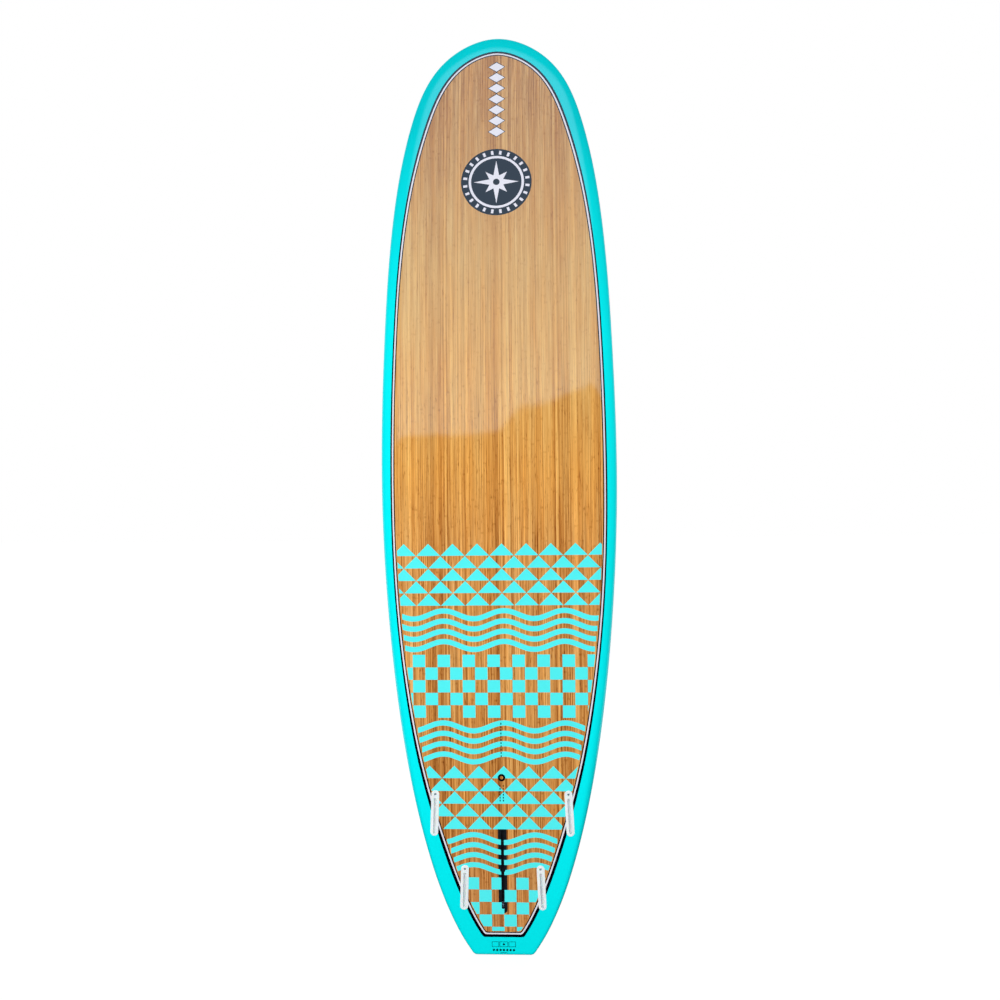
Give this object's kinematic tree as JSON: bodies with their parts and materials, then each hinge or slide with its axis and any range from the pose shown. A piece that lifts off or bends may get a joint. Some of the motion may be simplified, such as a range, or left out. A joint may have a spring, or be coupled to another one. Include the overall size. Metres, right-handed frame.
{
  "type": "stand up paddleboard",
  "caption": "Rigid stand up paddleboard with a round nose, squash tail, bamboo skins, painted rails, grip pad, carry handle, vent, leash plug and fin boxes.",
  "frame": {"origin": "centre of the flat end face of the squash tail", "axes": "+Z from tail to nose along the board, +Y out of the deck, -Y out of the bottom, X across the board"},
  "size_m": [0.7258, 0.1891, 2.896],
  "materials": {
    "bamboo": "clear gloss over bamboo strips",
    "turquoise_paint": "gloss epoxy paint",
    "eps_foam": "bead foam",
    "dense_foam": "cut foam",
    "stringer_wood": "planed wood",
    "black_plastic": "satin moulded plastic",
    "clear_plastic": "translucent milky plastic",
    "stainless": "fine turned",
    "eva_foam": "grooved closed-cell foam",
    "soft_rubber": "matt moulded rubber"
  },
  "bodies": {
    "board": {"bottom_veneer": "bamboo", "deck_veneer": "bamboo", "rail_wrap": "turquoise_paint", "core_left": "eps_foam", "core_right": "eps_foam", "stringer": "stringer_wood", "centre_fin_box": "black_plastic", "handle_cup": "black_plastic", "handle_bar": "black_plastic", "handle_grip": "soft_rubber", "vent_body": "black_plastic", "leash_cup": "black_plastic", "leash_pin": "stainless", "deck_pad_left": "eva_foam", "deck_pad_right": "eva_foam", "deck_pad_tail": "eva_foam", "foam_centre_box": "dense_foam", "foam_handle": "dense_foam", "foam_vent": "dense_foam", "foam_leash": "dense_foam", "fin_box_front_left": "clear_plastic", "fin_box_front_right": "clear_plastic", "fin_box_rear_left": "clear_plastic", "fin_box_rear_right": "clear_plastic", "foam_front_left": "dense_foam", "foam_front_right": "dense_foam", "foam_rear_left": "dense_foam", "foam_rear_right": "dense_foam"},
    "fin_plate": {"fin_plate": "stainless"},
    "fin_screw": {"fin_screw": "stainless"},
    "vent_seal": {"vent_seal": "soft_rubber"},
    "vent_screw": {"vent_screw": "black_plastic"},
    "set_screw_front_left": {"set_screw_front_left": "stainless"},
    "set_screw_front_right": {"set_screw_front_right": "stainless"},
    "set_screw_rear_left": {"set_screw_rear_left": "stainless"},
    "set_screw_rear_right": {"set_screw_rear_right": "stainless"}
  },
  "joints": [
    {"name": "fin_plate_slide", "type": "slide", "parent": "board", "child": "fin_plate", "axis": [0, -0.0756, 0.9971], "range_m": [0, 0.229]},
    {"name": "fin_screw_turn", "type": "hinge", "parent": "fin_plate", "child": "fin_screw", "pos_m": [0, -0.02913, 0.15993], "axis": [0, -0.9971, -0.0756], "continuous": true},
    {"name": "vent_screw_lift", "type": "slide", "parent": "board", "child": "vent_seal", "axis": [0.0255, 0.9982, -0.0537], "range_m": [0, 0.006]},
    {"name": "vent_screw_turn", "type": "hinge", "parent": "vent_seal", "child": "vent_screw", "pos_m": [0.06, 0.06202, 2.2], "axis": [0.0255, 0.9982, -0.0537], "range_deg": [0, 1440]},
    {"name": "set_screw_front_left_turn", "type": "hinge", "parent": "board", "child": "set_screw_front_left", "pos_m": [-0.20432, -0.05312, 0.51184], "axis": [0, -0.9983, -0.0576], "continuous": true},
    {"name": "set_screw_front_right_turn", "type": "hinge", "parent": "board", "child": "set_screw_front_right", "pos_m": [0.20432, -0.05312, 0.51184], "axis": [0, -0.9983, -0.0576], "continuous": true},
    {"name": "set_screw_rear_left_turn", "type": "hinge", "parent": "board", "child": "set_screw_rear_left", "pos_m": [-0.11674, -0.03817, 0.27676], "axis": [0, -0.9967, -0.0815], "continuous": true},
    {"name": "set_screw_rear_right_turn", "type": "hinge", "parent": "board", "child": "set_screw_rear_right", "pos_m": [0.11674, -0.03817, 0.27676], "axis": [0, -0.9967, -0.0815], "continuous": true}
  ],
  "couplings": [
    {"joint": "vent_screw_turn", "follows": "vent_screw_lift", "rad_per_m": 4188.8}
  ]
}
